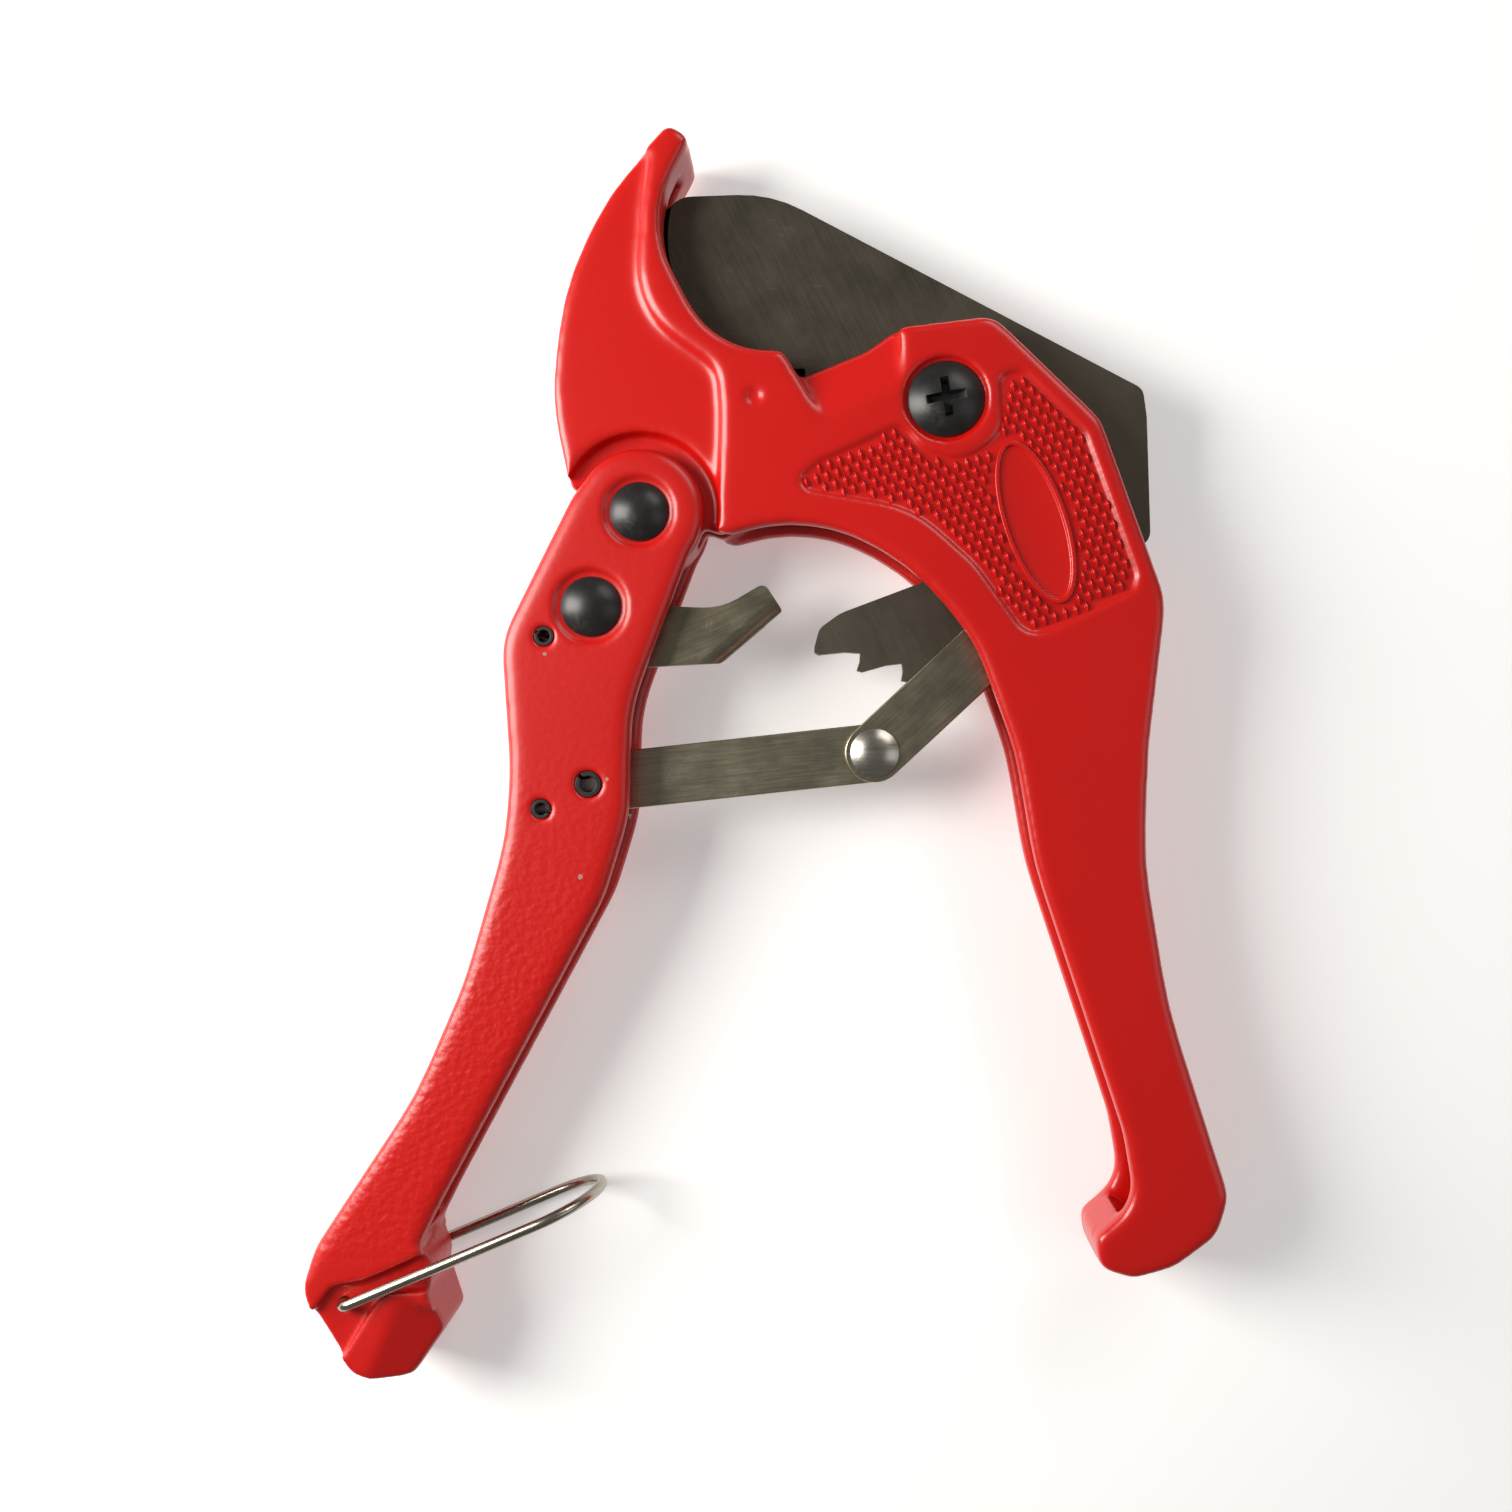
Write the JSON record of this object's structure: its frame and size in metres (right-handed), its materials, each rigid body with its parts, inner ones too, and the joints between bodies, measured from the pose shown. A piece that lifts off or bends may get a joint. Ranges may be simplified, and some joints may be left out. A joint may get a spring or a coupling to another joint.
{
  "type": "pipe cutter",
  "caption": "Ratcheting plastic-pipe cutter: hooked jaw and fixed handle in one casting, pivoting blade with a toothed tail, lever handle with pawl and folding return link, and a wire latch.",
  "frame": {"origin": "on the plane of the latch wire's far leg, under the middle of the whole tool's box as stored (handle open, blade closed)", "axes": "+X from the moving handle towards the fixed handle, +Y along the tool from the handle ends to the hook, +Z out of the front face, the face with the pivot screw's head"},
  "size_m": [0.1658, 0.2264, 0.0244],
  "materials": {
    "red_coat": "gloss powder coat over die-cast aluminium",
    "blade_steel": "ground tool steel, dark satin",
    "nickel_steel": "stamped and nickel-plated, brushed",
    "bright_steel": "bright zinc plate",
    "black_oxide": "black oxide, satin",
    "spring_wire": "drawn stainless wire"
  },
  "bodies": {
    "frame": {"frame_casting": "red_coat", "pivot_sleeve": "bright_steel", "blade_washers": "bright_steel", "pivot_screw": "black_oxide", "pivot_nut": "black_oxide", "lock_washer": "bright_steel"},
    "handle": {"moving_handle": "red_coat", "handle_rivet": "black_oxide", "pawl_rivet": "black_oxide", "stop_pin": "black_oxide", "link_pin": "black_oxide", "spring_pin": "black_oxide", "pawl_bush": "bright_steel", "pawl_spring": "spring_wire", "link_spring": "spring_wire"},
    "blade": {"blade": "blade_steel", "link_stud": "blade_steel"},
    "pawl": {"pawl": "nickel_steel"},
    "link_bush": {"link_bush": "bright_steel"},
    "long_link": {"long_link": "nickel_steel", "knee_washer": "bright_steel"},
    "knee_rivet": {"knee_rivet": "bright_steel"},
    "short_link": {"short_link": "nickel_steel"},
    "latch_bail": {"latch_bail": "spring_wire"}
  },
  "joints": [
    {"name": "handle_pivot", "type": "hinge", "parent": "frame", "child": "handle", "pos_m": [-0.02172, 0.04399, 0.0122], "axis": [0, 0, 1], "range_deg": [0, 43], "stiffness_Nm_per_rad": 0.06, "springref_deg": -40.11},
    {"name": "blade_pivot", "type": "hinge", "parent": "frame", "child": "blade", "pos_m": [0.03318, 0.06369, 0.0122], "axis": [0, 0, 1], "range_deg": [-45, 0]},
    {"name": "pawl_pivot", "type": "hinge", "parent": "handle", "child": "pawl", "pos_m": [-0.03042, 0.02698, 0.0122], "axis": [0, 0, 1], "range_deg": [-55.5, 0]},
    {"name": "link_bush_turn", "type": "hinge", "parent": "handle", "child": "link_bush", "pos_m": [-0.03082, -0.00492, 0.0122], "axis": [0, 0, 1], "range_deg": [-16.6, 0]},
    {"name": "long_link_pivot", "type": "hinge", "parent": "link_bush", "child": "long_link", "pos_m": [-0.03082, -0.00492, 0.0122], "axis": [0, 0, 1], "range_deg": [-55.3, 0]},
    {"name": "knee_rivet_turn", "type": "hinge", "parent": "long_link", "child": "knee_rivet", "pos_m": [0.02068, 0.00068, 0.0122], "axis": [0, 0, 1], "range_deg": [0, 77]},
    {"name": "short_link_pivot", "type": "hinge", "parent": "knee_rivet", "child": "short_link", "pos_m": [0.02068, 0.00068, 0.0122], "axis": [0, 0, 1], "range_deg": [0, 70.1]},
    {"name": "bail_pivot", "type": "hinge", "parent": "handle", "child": "latch_bail", "pos_m": [-0.07572, -0.09952, 0.0122], "axis": [0, 0, 1], "range_deg": [-300, 25]}
  ],
  "couplings": [
    {"joint": "pawl_pivot", "follows": "handle_pivot", "ratio": -1.288},
    {"joint": "link_bush_turn", "follows": "blade_pivot", "ratio": 0.368},
    {"joint": "long_link_pivot", "follows": "handle_pivot", "ratio": -1.284},
    {"joint": "knee_rivet_turn", "follows": "handle_pivot", "ratio": 1.787},
    {"joint": "short_link_pivot", "follows": "blade_pivot", "ratio": -1.556}
  ]
}
